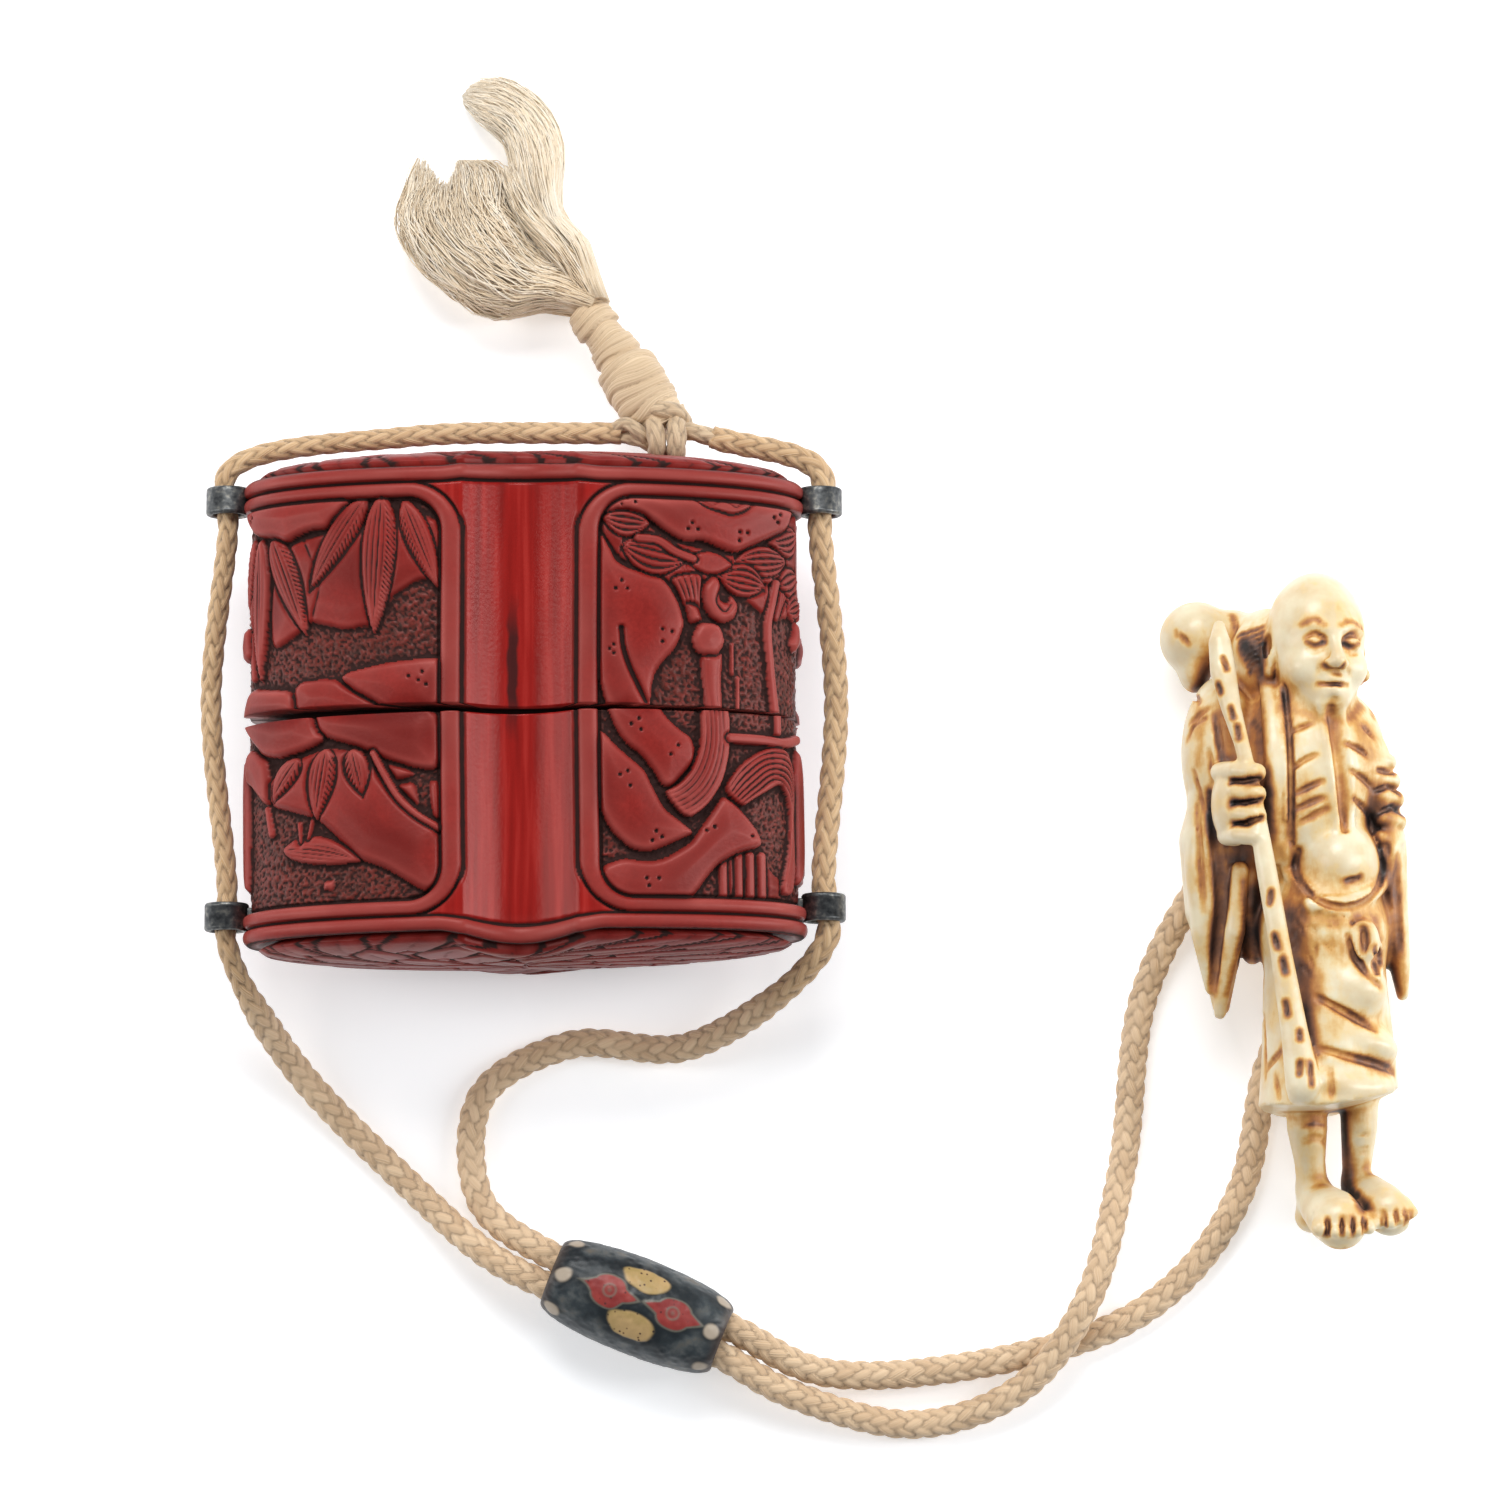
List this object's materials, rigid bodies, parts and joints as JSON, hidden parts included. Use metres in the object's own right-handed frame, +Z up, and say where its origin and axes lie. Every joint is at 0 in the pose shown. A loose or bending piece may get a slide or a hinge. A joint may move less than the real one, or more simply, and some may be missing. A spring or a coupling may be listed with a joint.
{
  "type": "inro case",
  "caption": "Carved red lacquer inro case with lift-off lid, metal cord loops, braided silk cord with tassel, inlaid sliding bead and carved figure toggle, laid flat.",
  "frame": {"origin": "on the table, under the middle of the inro case", "axes": "+X to the right across the case, +Y along the case from lid to case end, +Z up from the table out of the upper face"},
  "size_m": [0.1206, 0.1384, 0.0258],
  "materials": {
    "red_lacquer": "carved red lacquer over a wood core, satin, dark grime in the recesses",
    "dark_metal": "dark patinated copper alloy, dull, brighter on worn edges",
    "silk_cord": "braided silk, soft sheen",
    "silk_floss": "frayed undyed silk floss",
    "inlaid_bead": "blue-black mottled body with ochre and red inlay, semi-gloss",
    "old_ivory": "polished old ivory-coloured carving, cream with ochre and brown stain in the cuts"
  },
  "bodies": {
    "root": {"case": "red_lacquer", "lid": "red_lacquer", "cord_loop_case_left": "dark_metal", "cord_loop_case_right": "dark_metal", "cord_loop_lid_left": "dark_metal", "cord_loop_lid_right": "dark_metal", "cord": "silk_cord", "cord_knot": "silk_cord", "tassel": "silk_floss", "ojime_bead": "inlaid_bead", "netsuke": "old_ivory"}
  },
  "joints": []
}
